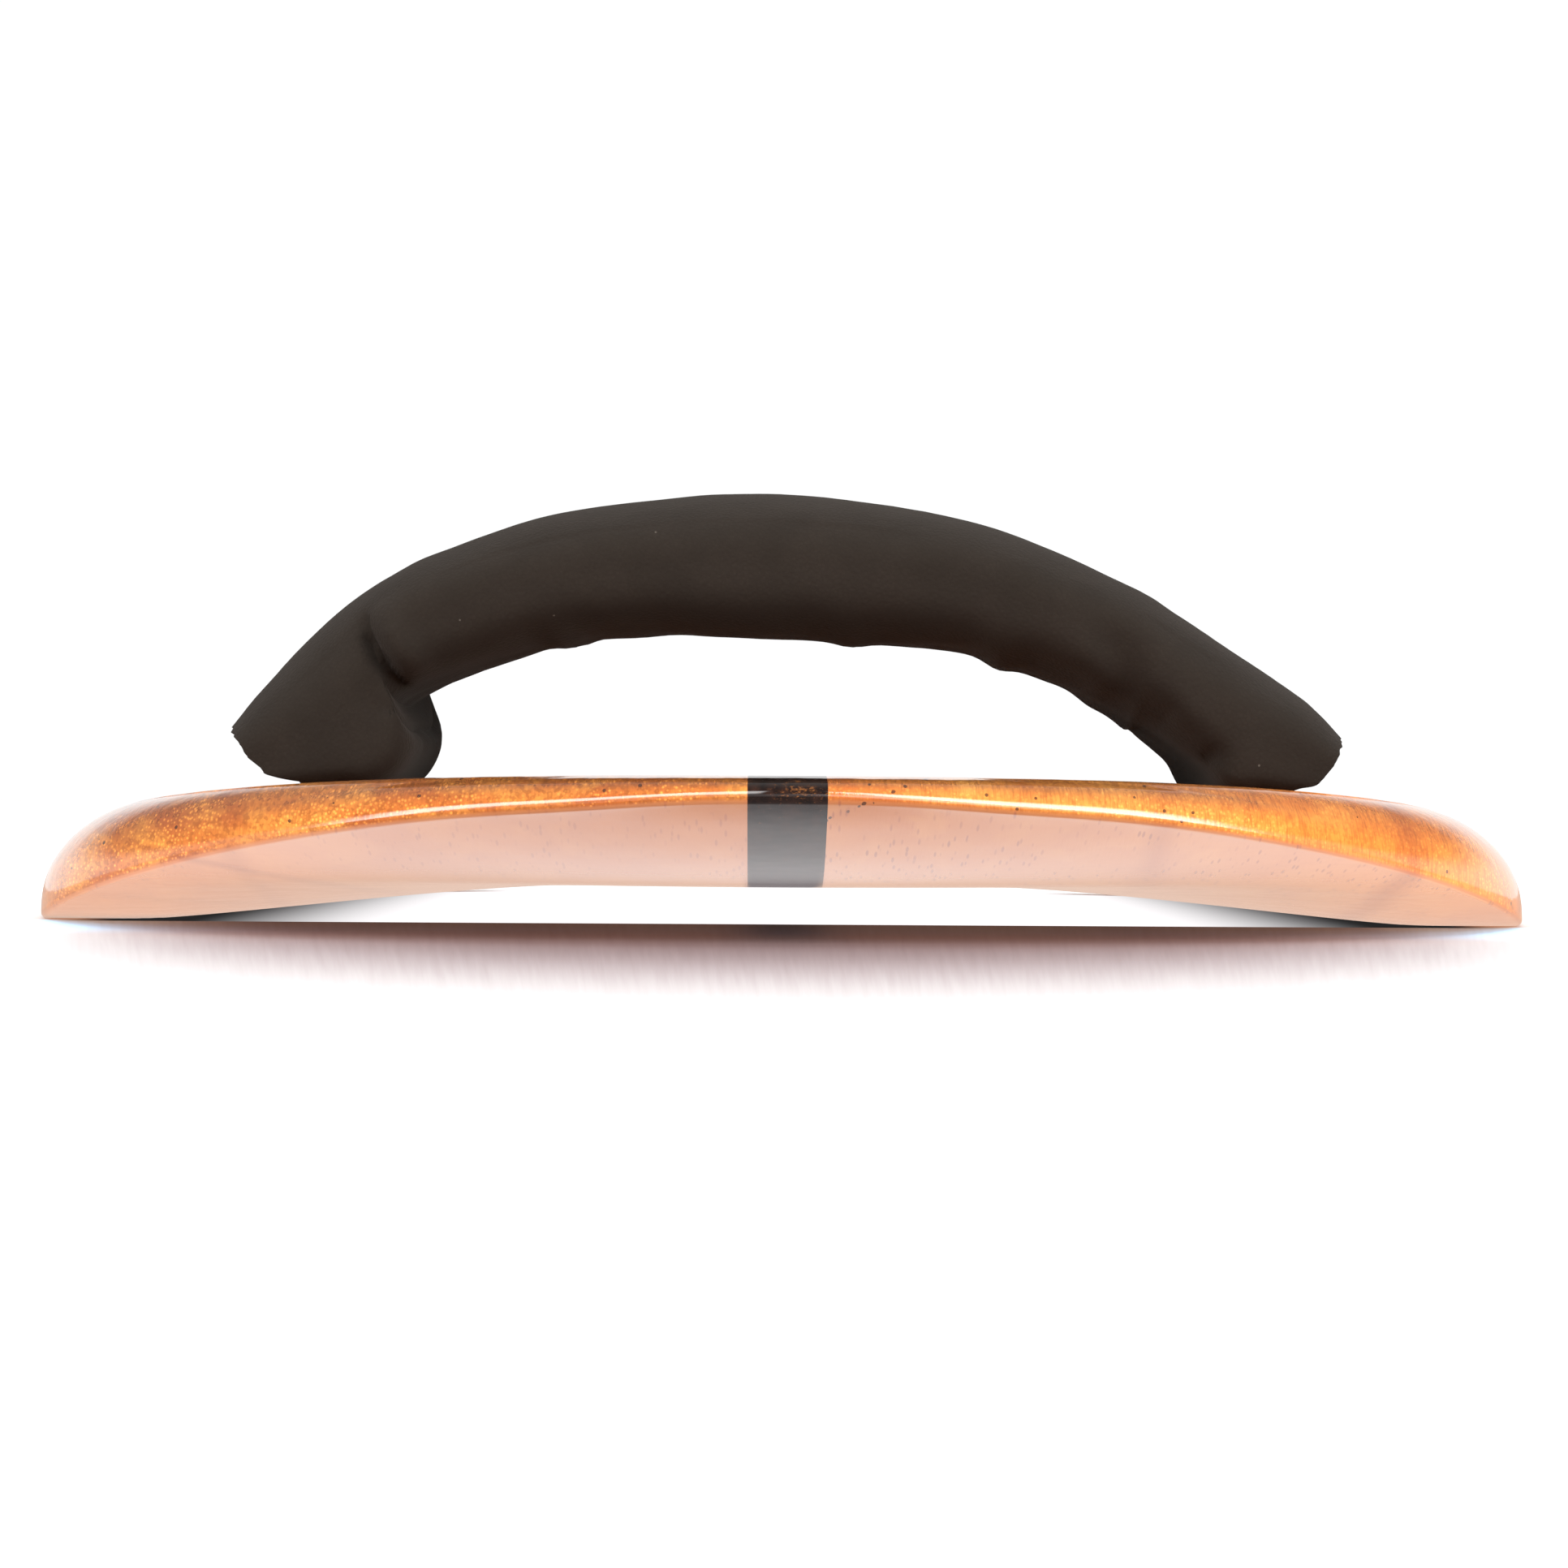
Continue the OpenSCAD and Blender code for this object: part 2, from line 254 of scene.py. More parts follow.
def outline_y(x, tail):
    reach = np.clip(1 - (x / HALF_W) ** 2, 0, None)
    return WIDE_Y + TAIL_L * reach ** (1 / TAIL_POWER) if tail else WIDE_Y - FRONT_L * np.sqrt(reach)


def inset(x, y):
    """About how far inside the outline a point is."""
    way, power, run = along_outline(y)
    way = np.clip(way, 1e-9, None)
    form = 1 - (x / HALF_W) ** 2 - way**power
    grad = np.hypot(2 * x / HALF_W**2, power * way ** (power - 1) / run)
    return np.clip(form, 0, None) / np.clip(grad, 1e-6, None)


def bottom_z(x, y):
    aft = y - NOSE_Y
    rail = ROCKER_H * np.clip(1 - aft / ROCKER_L, 0, None) ** ROCKER_POWER
    rail = rail - RAIL_SINK * np.clip(aft / ROCKER_L, None, 1)
    rail = rail - DIP_H * bell((np.abs(x) - DIP_X) / DIP_HALF_W) * np.clip(1 - aft / DIP_L, 0, 1)
    scoop = SCOOP_H * np.clip(1 - aft / SCOOP_L, 0, None) ** 2
    centre = CONCAVE_H + CONCAVE_GAIN * aft / LENGTH + scoop
    wide = np.where(y < WIDE_Y, np.clip(outline_x(y), HALF_S, CONCAVE_X), CONCAVE_X)
    share = np.clip(1 - (np.abs(x) / wide) ** 2, 0, None) ** CONCAVE_POWER
    return rail + (centre - rail) * share


def deck_z(x):
    return DECK_H - DECK_DROP * (np.abs(x) / DECK_DROP_X) ** 3


def top_z(x, y, d):
    """The deck and its shoulder, d inside the outline."""
    low = bottom_z(x, y)
    wide = np.minimum(SHOULDER_W, SHOULDER_SHARE * (deck_z(x) - low))
    power = SHOULDER_POWER + SHOULDER_GAIN * (x / SHOULDER_X) ** 2
    rise = (1 - (1 - np.clip(d / wide, 0, 1)) ** power) ** (1 / power)
    return (low + RIM_R) * (1 - rise) + deck_z(x) * rise


def under_z(x, y, d):
    """The bottom with its rounded rim, cut flat where it stands on the floor."""
    out = 1 - np.clip(d / RIM_R, 0, 1)
    return np.clip(bottom_z(x, y), 0, None) + RIM_R * (1 - np.sqrt(np.clip(1 - out * out, 0, None)))


def panel(name, side):
    """One panel: rays run from the outline in to a spine along the stringer, crowded at the rim."""
    rays, steps, spine = 320, 46, 0.7
    a = np.linspace(0, 1, 4000)
    x = HALF_W * np.sin(np.pi * a)
    y = np.where(a > 0.5, outline_y(x, True), outline_y(x, False))
    keep = x >= HALF_S
    x, y = x[keep], y[keep]
    run = np.concatenate([[0], np.cumsum(np.hypot(np.diff(x), np.diff(y)))])
    at = np.linspace(0, run[-1], rays)
    ex, ey = np.interp(at, run, x), np.interp(at, run, y)
    ex[0] = ex[-1] = HALF_S
    ey[0], ey[-1] = outline_y(HALF_S, False), outline_y(HALF_S, True)
    t = np.linspace(0, 1, steps) ** 3
    px = ex[:, None] + (HALF_S - ex)[:, None] * t
    py = ey[:, None] + (WIDE_Y + spine * (ey - WIDE_Y) - ey)[:, None] * t
    d = inset(px, py)
    d[:, 0] = 0
    top = np.stack([px, py, top_z(px, py, d)], -1)
    low = np.stack([px, py, under_z(px, py, d)], -1)
    low[:, 0] = top[:, 0]
    points = np.concatenate([top.reshape(-1, 3), low[:, 1:].reshape(-1, 3)])
    points[:, 0] *= side

    def under(i, j):
        return i * steps if j == 0 else rays * steps + i * (steps - 1) + j - 1

    faces = grid_faces(rays, steps, flip=side > 0)
    for i in range(rays - 1):
        for j in range(steps - 1):
            q = (under(i, j), under(i, j + 1), under(i + 1, j + 1), under(i + 1, j))
            faces.append(q if side > 0 else q[::-1])
    # the wall that is glued to the stringer
    wall = [(0, j) for j in range(steps)] + [(i, steps - 1) for i in range(1, rays)]
    wall += [(rays - 1, j) for j in range(steps - 2, -1, -1)]
    for (i, j), (m, n) in zip(wall[:-1], wall[1:]):
        q = without_repeats([i * steps + j, under(i, j), under(m, n), m * steps + n])
        faces.append(q if side > 0 else q[::-1])
    return new_mesh(name, points, faces)


def stringer(name):
    """The strip between the panels: a grid with its rows crowded at nose and tail."""
    cols, rows, crowding = 13, 260, 2.2
    x = np.linspace(-HALF_S, HALF_S, cols)
    t = np.linspace(-1, 1, rows)
    t = np.sign(t) * (1 - (1 - np.abs(t)) ** crowding)
    lo, hi = outline_y(x, False), outline_y(x, True)
    py = (lo + hi)[None] / 2 + (hi - lo)[None] / 2 * t[:, None]
    px = np.broadcast_to(x, py.shape)
    d = inset(px, py)
    d[0] = d[-1] = 0
    top = np.stack([px, py, top_z(px, py, d)], -1)
    low = np.stack([px, py, under_z(px, py, d)], -1)
    low[0], low[-1] = top[0], top[-1]
    points = np.concatenate([top.reshape(-1, 3), low[1:-1].reshape(-1, 3)])

    def under(i, j):
        return i * cols + j if i in (0, rows - 1) else rows * cols + (i - 1) * cols + j

    faces = grid_faces(rows, cols)
    for i in range(rows - 1):
        for j in range(cols - 1):
            faces.append((under(i, j), under(i + 1, j), under(i + 1, j + 1), under(i, j + 1)))
        for j, turn in ((0, 1), (cols - 1, -1)):
            q = without_repeats([i * cols + j, (i + 1) * cols + j, under(i + 1, j), under(i, j)])
            faces.append(q[::turn])
    return new_mesh(name, points, faces)


# ---------------------------------------------------------------- strap shape
STRAP_Y, STRAP_W = -6.0, 72.0  # the strap's middle and its width along the board
WALL, FOOT_WALL = 3.5, 2.8  # the neoprene's thickness, and where the feet press it on the deck
SLOPE = math.tan(math.radians(3))  # how much higher the strap is towards its aft edge


def foot(x):
    """The height just above the deck, counted from its middle line."""
    return float(deck_z(x) - DECK_H + 0.12)


# The strap from the left foot to the right: [inner x, inner height, outer x, outer height]. The heights
# are counted from the deck's middle line.
ARCH = [
    (-66.4, foot(66.4), -76.4, 8.2), (-60.0, foot(60.0), -72.8, 13.3), (-54.0, foot(54.0), -67.5, 19.3),
    (-50.3, 5.0, -60.9, 25.3), (-54.0, 9.4, -54.8, 29.3), (-46.0, 14.4, -48.0, 32.6),
    (-28.0, 20.0, -30.0, 38.3), (0.0, 20.2, -2.0, 40.9), (24.0, 18.7, 26.0, 37.3), (40.0, 13.7, 47.8, 28.9),
    (49.3, 8.3, 55.4, 24.4), (57.2, 3.0, 62.6, 19.7), (60.3, foot(60.3), 69.2, 15.4),
    (64.8, foot(64.8), 74.1, 11.6), (70.3, foot(70.3), 77.2, 7.8),
]
PADDED = slice(5, 10)  # the stretch of the arch that has the foam pad in it

# Buckles across the underside: [x, depth, half width]
BUCKLES = [
    (-36.0, 0.4, 5.0), (-29.0, 0.7, 2.2), (-14.0, -0.3, 4.0), (10.5, 0.6, 2.4), (31.0, 1.0, 2.4),
    (44.0, 0.5, 2.0), (49.5, 0.4, 1.2),
]

# The fold at the left foot and the valley at the right one, as lines on the near face: [x, z above the floor]
FOLD = [
    (-57.2, 43.0), (-56.4, 40.6), (-55.7, 38.2), (-54.4, 35.6), (-52.6, 33.0), (-50.9, 31.2),
    (-49.8, 29.6), (-49.4, 27.6),
]
VALLEY = [(40.0, 47.0), (43.3, 39.8), (47.8, 31.0), (52.7, 25.6), (58.0, 22.3)]


def smooth(p, steps):
    """A smooth curve through points, with a number of steps between each two."""
    p = np.array(p, float)
    out = []
    for i in range(len(p) - 1):
        a, b, c, d = p[max(0, i - 1)], p[i], p[i + 1], p[min(len(p) - 1, i + 2)]
        for k in range(steps):
            t = k / steps
            out.append(0.5 * (2 * b + (c - a) * t + (2 * a - 5 * b + 4 * c - d) * t * t
                              + (3 * b - a - 3 * c + d) * t**3))
    return np.array(out + [p[-1]])


def spow(v, n=2 / 3):
    """A power that keeps the sign, to make a section squarer than an ellipse."""
    return np.sign(v) * np.abs(v) ** n


def ring_angles(count):
    """Angles round a section that space its points evenly, and closer on its two edges."""
    half_t, half_y = 10.0, STRAP_W / 2
    edge, crowding = 8, 2.6
    a = np.linspace(0, 2 * np.pi, 20001)
    rise, along = half_t * spow(np.sin(a)), half_y * spow(np.cos(a))
    step = np.hypot(np.diff(rise), np.diff(along))
    mid = (along[1:] + along[:-1]) / 2
    weight = np.where(np.abs(mid) > half_y - edge, crowding, 1.0)
    run = np.concatenate([[0], np.cumsum(step * weight)])
    return np.interp(np.arange(count) / count * run[-1], run, a)


def strap_rings(sections, angles, skin):
    """A ring of points round each section, a skin's thickness inside the strap's surface."""
    rings = []
    for ix, iz, ox, oz in sections:
        inner, outer = np.array([ix, iz]), np.array([ox, oz])
        mid, span = (inner + outer) / 2, np.linalg.norm(outer - inner)
        up = (outer - inner) / span
        half_t = span / 2
        # near the deck the lower half is square, so that the sleeve's sides stand on the wood
        flat = np.clip((7 - iz) / 6, 0, 1)
        lower = np.sin(angles) < 0
        power = 2 / (3 + 5 * flat * lower)
        thin = np.where(lower, np.minimum(skin, FOOT_WALL), skin) if flat else skin
        rise = (half_t - thin) * spow(np.sin(angles), power)
        along = (STRAP_W / 2 - skin) * spow(np.cos(angles), power)
        level = mid[1] + up[1] * rise
        x = mid[0] + up[0] * rise
        if iz > 8 and not skin:
            low = np.clip(-np.sin(angles), 0, 1) ** 0.6
            for bx, depth, wide in BUCKLES:
                level = level - depth * low * bell((ix - bx - 0.06 * along) / wide)
        slope = SLOPE * np.clip(level / 15, 0, 1)
        rings.append(np.stack([x, along + STRAP_Y, DECK_H + level + slope * along], -1))
    return np.array(rings)


def line_offset(x, z, line):
    """Signed distance from points to a line of points in the XZ plane, and the share of the way along it."""
    line = np.array(line, float)
    best, side, where = np.full(x.shape, 1e9), np.zeros(x.shape), np.zeros(x.shape)
    for i, (a, b) in enumerate(zip(line[:-1], line[1:])):
        run = b - a
        t = np.clip(((x - a[0]) * run[0] + (z - a[1]) * run[1]) / (run @ run), 0, 1)
        dx, dz = x - a[0] - t * run[0], z - a[1] - t * run[1]
        dist = np.hypot(dx, dz)
        new = dist < best
        best = np.where(new, dist, best)
        side = np.where(new, np.sign(dz * run[0] - dx * run[1]), side)
        where = np.where(new, (i + t) / (len(line) - 1), where)
    return best * side, where


def dent(x, z, at_x, at_z, radius, stretch=1.0):
    """A round hollow, or one that is stretched along Z."""
    return bell(np.hypot(x - at_x, (z - at_z) / stretch) / radius)


def crumple(points, shift, gain):
    """How far a point of an edge face stands out: the fold, the valley and the hollows beside them."""
    x, z = points[..., 0] + shift, points[..., 2]
    off, way = line_offset(x, z, FOLD)
    off = -off
    gate = np.clip(way * 3.2, 0, 1) * np.clip((1 - way) * 5, 0, 1)
    lip, groove = 1.9 * bell((off + 2.6) / 2.2), 2.4 * bell((off - 0.5) / 1.25)
    out = gate * (lip - groove - np.where(off > 0, 1.6 * np.exp(-off / 6), 0))
    out -= 0.9 * dent(x, z, -53.0, 28.0, 4.5) + 0.6 * dent(x, z, -57.0, 43, 5, 1.2)
    off, way = line_offset(x, z, VALLEY)
    banks = 0.7 * bell((off + 5) / 3.2) + 0.6 * bell((off - 5) / 3)
    out += np.clip(way * 2, 0, 1) * (banks - 1.3 * bell(off / 2.4))
    out -= 2.4 * dent(x, z, 58.3, 22.3, 1.3)
    return gain * out


def fold_edges(layer):
    """Folds the strap's near face, and its far face with the same folds shifted and weaker."""
    core, fade = 24, 9  # no folds this close to the strap's middle, and full ones this much further out
    far_shift, far_gain = 2.5, 0.7
    along = layer[..., 1] - STRAP_Y
    facing = np.clip((np.abs(along) - core) / fade, 0, 1) ** 1.5
    stand = np.where(along < 0, crumple(layer, 0.0, 1.0), crumple(layer, far_shift, far_gain))
    layer[..., 1] += np.sign(along) * facing * stand


def roughen(layer, angles):
    """Soft unevenness all over, none where the sleeve is clamped to the deck and less on top."""
    normal = np.cross(np.roll(layer, -1, 1) - np.roll(layer, 1, 1), np.gradient(layer, axis=0))
    normal /= np.linalg.norm(normal, axis=-1, keepdims=True) + 1e-9
    free = np.clip((layer[..., 2] - DECK_H - 1.0) / 6, 0, 1)
    calm = np.where(np.sin(angles) > 0.5, 0.45, 1.0)
    for i, j in np.ndindex(layer.shape[:2]):
        q = Vector(layer[i, j])
        swell = 0.40 * noise.noise(q / 21) + 0.22 * noise.noise(q / 7.5 + Vector((9, 0, 0)))
        layer[i, j] -= normal[i, j] * (swell * free[i, j] * calm[j] + 0.03 * noise.noise(q / 1.6))


def fray_ends(layer, angles):
    """Pulls the two cut ends out and in, less and less over the first rings."""
    rows, reach = len(layer), 12
    down = 0.5 - 0.5 * spow(np.sin(angles))
    curl = 0.5 * bell(down / 0.2) + 1.3 * bell((down - 0.56) / 0.24) - 1.3 * bell((down - 0.9) / 0.13)
    for end, step in ((0, 1), (rows - 1, -1)):
        way = layer[end] - layer[end + step]
        way /= np.linalg.norm(way, axis=-1, keepdims=True) + 1e-9
        rough = [0.5 * noise.noise(Vector(v) / 3.2) + 0.3 * noise.noise(Vector(v) / 1.1) for v in layer[end]]
        for k in range(reach):
            layer[end + step * k] += way * ((curl + rough) * (1 - k / reach) ** 2)[:, None]


def sleeve(name):
    """The neoprene tube, open at both ends."""
    ring, sections = 156, smooth(ARCH, 18)
    angles = ring_angles(ring)
    outer = strap_rings(sections, angles, 0)
    inner = strap_rings(sections, angles, WALL)
    fold_edges(outer)
    roughen(outer, angles)
    for layer, gap in ((outer, 0.1), (inner, 1.2)):
        fray_ends(layer, angles)
        layer[..., 2] = np.maximum(layer[..., 2], deck_z(layer[..., 0]) + gap)
    rows = len(sections)
    size, last = rows * ring, (rows - 1) * ring
    faces = grid_faces(rows, ring, closed=True, flip=True) + grid_faces(rows, ring, start=size, closed=True)
    for j in range(ring):
        k = (j + 1) % ring
        faces.append((k, size + k, size + j, j))
        faces.append((last + j, size + last + j, size + last + k, last + k))
    return new_mesh(name, np.concatenate([outer.reshape(-1, 3), inner.reshape(-1, 3)]), faces, sharp=60)


def padding(name):
    """The foam pad inside the sleeve, with rounded ends."""
    ring, sections = 64, smooth(ARCH[PADDED], 8)
    rings = strap_rings(sections, ring_angles(ring), WALL + 0.4)
    rows = len(sections)
    middle = rings.mean(1, keepdims=True)
    t = np.linspace(-1, 1, rows)
    rings = middle + (rings - middle) * (1 - 0.35 * np.abs(t) ** 10)[:, None, None]
    size, last = rows * ring, (rows - 1) * ring
    faces = grid_faces(rows, ring, closed=True, flip=True)
    for j in range(ring):
        k = (j + 1) % ring
        faces.append((j, k, size))
        faces.append((last + k, last + j, size + 1))
    return new_mesh(name, np.concatenate([rings.reshape(-1, 3), middle[0], middle[-1]]), faces, sharp=60)


# ---------------------------------------------------------------- materials
def varnish_gloss(t, y, tilt, glossy, satin):
    """The varnish's weight: glossy on the nose and the rails, and rubbed down to a satin on the deck."""
    deck = t.times(t.ramp(tilt, 0.96, 0.99), t.ramp(y, -118, -95))
    return t.line(deck, satin - glossy, glossy)


def varnish_skin(t):
    """The slow waves of brushed varnish."""
    return t.noise(t.coords((160, 160, 160)), 1.0, 2, 0.5)


def wood(name, side, pale, mid, deep, below, depth):
    """Varnished mahogany as a solid. Pores and fibres run along Y: dots on the nose and dashes below.

    side is -1 for the left panel and 1 for the right one. depth says how strong each marking is, and its rim
    entry how strong the painted shade on the rim is.
    """
    m, t = material(name)
    x, y, z = t.place()
    seed = 31.0 * side
    tilt = t.tilt_z()
    facing_down = t.ramp(tilt, -0.75, -0.35, 1, 0)
    end_grain = t.rest(facing_down)

    figure = t.noise(t.coords((60, 9, 110), offset=(seed, 0, 0)), 1.0, 3, 0.55, 0.4)
    flame = t.noise(t.coords((170, 16, 260), (0, 0.5 * side, 0), (seed, 3, 1)), 1.0, 2, 0.5, 0.6)
    colour = t.mix(t.ramp(figure, 0.34, 0.64), deep, mid)
    colour = t.mix(t.times(t.ramp(flame, 0.45, 0.72), 0.55), colour, pale)
    # where the wood faces down it is paler and pinker: painted light from the white floor below it
    colour = t.mix(t.times(facing_down, 0.75), colour, below)
    # painted shade: darker on the rounded edge where it turns to face down, between the highlight and the
    # bottom
    rim = t.times(t.ramp(tilt, -0.97, -0.8), t.ramp(tilt, -0.5, -0.2, 1, 0))
    colour = t.mix(t.times(rim, depth["rim"]), colour, darker(deep, 0.7))
    if side > 0:  # redder towards its rail
        colour = t.mix(t.times(t.ramp(x, 38, 62), 0.5, end_grain), colour, (0.60, 0.175, 0.020))

    # golden and dull dots, the cut ends of the soft tissue
    distance, draw, other_draw = t.cells(t.coords((2400, 40, 2400), offset=(seed, 0, 0)))
    thick = t.ramp(t.noise(t.coords((90, 30, 90)), 1.0, 1), 0.3, 0.6, 0.3, 1)
    gold = t.times(t.ramp(distance, 0.2, 0.5, 1, 0), thick, t.ramp(other_draw, 0.15, 0.5))
    colour = t.mix(t.times(gold, end_grain, depth["dots"]), colour, tuple(min(1, 1.9 * c) for c in pale))
    dull = t.times(t.ramp(draw, 0.45, 0.95), end_grain)
    colour = t.mix(t.times(dull, depth["dots"]), colour, darker(deep, 0.5))

    # fine slanting fibres
    for slant, weight in ((0.75, 0.34), (-0.55, 0.24)):
        fibre = t.noise(t.coords((4200, 60, 520), (0, slant * side, 0)), 1.0, 3, 0.6)
        share = t.times(end_grain, depth["fibres"] * weight)
        colour = t.mix(t.times(t.ramp(fibre, 0.46, 0.66), share), colour, darker(deep, 0.55))

    # growth lines
    wave = t.line(t.noise(t.coords((40, 12, 140)), 1.0, 2), 5.0, -2.5)
    if side > 0:
        lines = [(t.math("ADD", x, wave), 44.0, 3.0, 0.25), (t.math("ADD", x, wave), 75.5, 3.5, 0.4)]
    else:
        slanting = t.line(x, 0.22, t.line(wave, 0.3, z))
        lines = [(slanting, -6.9, 0.8, 0.3), (t.math("ADD", x, wave), -66.0, 3.0, 0.2)]
    for value, at, reach, weight in lines:
        line_colour = (0.55 * deep[0], 0.35 * deep[1], 0.6 * deep[2])
        colour = t.mix(t.times(t.hit(value, at, reach), weight), colour, line_colour)

    # dark pores, 0.3 mm wide and some millimetres long
    distance, _, chance = t.cells(t.coords((620, 110, 620), offset=(seed, 0, 0)))
    size = t.line(chance, 0.10, 0.05)
    spot = t.times(t.math("LESS_THAN", distance, size), t.math("GREATER_THAN", chance, 0.76))
    pores = t.times(spot, t.line(end_grain, 0.75, 0.05))
    if side > 0:  # a slanting row of beads beside the stringer
        row = t.times(t.hit(t.line(x, -0.4, z), 12.6, 0.6), t.ramp(x, 18, 21, 1, 0))
        distance = t.cells(t.coords((1100, 60, 1100)))[0]
        bead = t.math("LESS_THAN", distance, t.times(row, 0.34))
        pores = t.math("MAXIMUM", pores, t.times(bead, 0.8))
    colour = t.mix(pores, colour, (0.03, 0.012, 0.008))

    # below, where the surface runs along the fibres, the pores are short dashes
    distance, draw, _ = t.cells(t.coords((1500, 210, 60), offset=(seed, 5, 0)))
    patches = t.ramp(t.noise(t.coords((75, 30, 75)), 1.0, 2), 0.36, 0.54, 0.12, 1)
    some = t.times(t.ramp(draw, 0.0, 0.5), patches, facing_down)
    dashes = t.times(t.ramp(distance, 0.16, 0.34, 1, 0), some)
    colour = t.mix(t.times(dashes, depth["dashes"]), colour, (0.22, 0.07, 0.036))

    # varnish, with the fibres just showing through
    relief = t.noise(t.coords((2600, 60, 900)), 1.0, 2, 0.5)
    coat = t.bump(varnish_skin(t), 0.00025, 0.25, t.bump(relief, 0.00004, 0.45))
    gloss = varnish_gloss(t, y, tilt, glossy=1.0, satin=0.06)
    t.finish(t.principled(Base_Color=colour, Roughness=0.5, Specular_IOR_Level=0.05,
                          Normal=t.bump(relief, 0.00006, 0.35), Coat_Weight=gloss,
                          Coat_Roughness=0.06, Coat_IOR=1.5, Coat_Normal=coat))
    return m


def stringer_wood():
    """Near-black hardwood under the same varnish, with an amber patch at the nose."""
    m, t = material("dark_wood")
    x, y, z = t.place()
    fibre = t.noise(t.coords((900, 25, 900)), 1.0, 3, 0.6)
    colour = t.mix(t.ramp(fibre, 0.35, 0.75), (0.006, 0.003, 0.0025), (0.020, 0.008, 0.005))
    patch = t.noise(t.coords((1500, 60, 3200), (0, 0.15, 0), (2, 0, 5)), 1.0, 4, 0.75, 0.1)
    near = t.times(t.hit(x, 1.5, 4.5), t.hit(z, 17.6, 2.2))
    amber = t.times(t.ramp(t.line(near, 0.13, patch), 0.60, 0.74), 0.6)
    colour = t.mix(amber, colour, (0.17, 0.06, 0.014))
    gloss = varnish_gloss(t, y, t.tilt_z(), glossy=0.75, satin=0.05)
    coat = t.bump(varnish_skin(t), 0.00025, 0.25)
    t.finish(t.principled(Base_Color=colour, Roughness=0.5, Specular_IOR_Level=0.02,
                          Normal=t.bump(fibre, 0.00006, 0.3), Coat_Weight=gloss,
                          Coat_Roughness=0.04, Coat_IOR=1.5, Coat_Normal=coat))
    return m


def knit():
    """Nylon-faced neoprene: a fine knit over a soft, slightly uneven surface, with a little lint."""
    m, t = material("neoprene")
    cloth = t.coords((1000, 1000, 1000))
    mottle = t.noise(cloth, 0.12, 3, 0.6)
    fine = t.noise(cloth, 2.2, 2, 0.6)
    ribs = t.cells(t.coords((1900, 1500, 1900)))[0]
    colour = t.mix(t.ramp(mottle, 0.3, 0.7), (0.0088, 0.0065, 0.0048), (0.0112, 0.0083, 0.0062))
    colour = t.mix(t.times(t.ramp(ribs, 0.2, 0.6), 0.5), colour, (0.009, 0.0066, 0.0050))
    distance, draw, _ = t.cells(t.coords((230, 230, 230)))
    lint = t.times(t.math("LESS_THAN", distance, 0.035), t.math("GREATER_THAN", draw, 0.8))
    colour = t.mix(t.times(lint, 0.6), colour, (0.07, 0.06, 0.05))
    rough = t.bump(fine, 0.00012, 0.2, t.bump(ribs, 0.0002, 0.35))
    t.finish(t.principled(Base_Color=colour, Roughness=0.95, Specular_IOR_Level=0.08, Normal=rough,
                          Sheen_Weight=0.02, Sheen_Roughness=0.5, Sheen_Tint=(0.9, 0.8, 0.72)))
    return m


def foam():
    """Dark closed-cell foam."""
    m, t = material("foam")
    bubbles = t.cells(t.coords((1400, 1400, 1400)))[0]
    tone = t.noise(t.coords((120, 120, 120)), 1.0, 2)
    colour = t.mix(tone, (0.06, 0.06, 0.065), (0.10, 0.10, 0.105))
    colour = t.mix(t.ramp(bubbles, 0.1, 0.5, 0.6, 0), colour, (0.03, 0.03, 0.033))
    t.finish(t.principled(Base_Color=colour, Roughness=0.95, Normal=t.bump(bubbles, 0.0003, 0.6)))
    return m


def metal(name, colour, worn, rough, stretch):
    """Machined or brushed metal: fine lines along one way, and duller worn patches."""
    m, t = material(name)
    lines = t.noise(t.coords(stretch), 1.0, 3, 0.6)
    patch = t.noise(t.coords((300, 300, 300)), 1.0, 3, 0.6)
    tone = t.mix(t.ramp(patch, 0.4, 0.7), colour, worn)
    t.finish(t.principled(Base_Color=t.mix(t.times(lines, 0.3), tone, darker(colour, 0.5)), Metallic=1.0,
                          Roughness=t.ramp(lines, 0.3, 0.7, rough, rough + 0.18),
                          Normal=t.bump(lines, 0.00003, 0.3)))
    return m


# ---------------------------------------------------------------- pieces
# below is each panel's colour where it faces down, paler and pinker with painted light from the white floor
left_wood = wood(
    "left_wood", -1, pale=(0.47, 0.19, 0.034), mid=(0.38, 0.122, 0.021), deep=(0.26, 0.062, 0.012),
    below=(0.405, 0.162, 0.070), depth={"rim": 0.3, "dots": 0.45, "fibres": 0.6, "dashes": 0.45})
right_wood = wood(
    "right_wood", 1, pale=(0.56, 0.25, 0.052), mid=(0.46, 0.165, 0.030), deep=(0.34, 0.085, 0.016),
    below=(0.415, 0.172, 0.076), depth={"rim": 0.45, "dots": 0.25, "fibres": 1.2, "dashes": 0.7})
steel = metal("stainless_steel", (0.62, 0.61, 0.59), (0.5, 0.48, 0.45), 0.28, (400, 6000, 400))
bright_steel = metal("machined_steel", (0.66, 0.65, 0.63), (0.52, 0.5, 0.48), 0.2, (500, 500, 5000))
brass = metal("brass", (0.72, 0.53, 0.25), (0.45, 0.30, 0.13), 0.25, (500, 500, 5000))

left_panel = panel("left_board_panel", -1)
right_panel = panel("right_board_panel", 1)
stringer_piece = stringer("board_stringer")
sleeve_piece = sleeve("neoprene_sleeve")
padding_piece = padding("foam_padding")

for piece, mat, node, slot in (
    (left_panel, left_wood, "left_panel", "mahogany"),
    (right_panel, right_wood, "right_panel", "mahogany"),
    (stringer_piece, stringer_wood(), "centre_stringer", "dark_hardwood"),
    (sleeve_piece, knit(), "strap_sleeve", "neoprene"),
    (padding_piece, foam(), "strap_padding", "foam"),
):
    piece.data.materials.append(mat)
    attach(piece, "root")
    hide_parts(node)

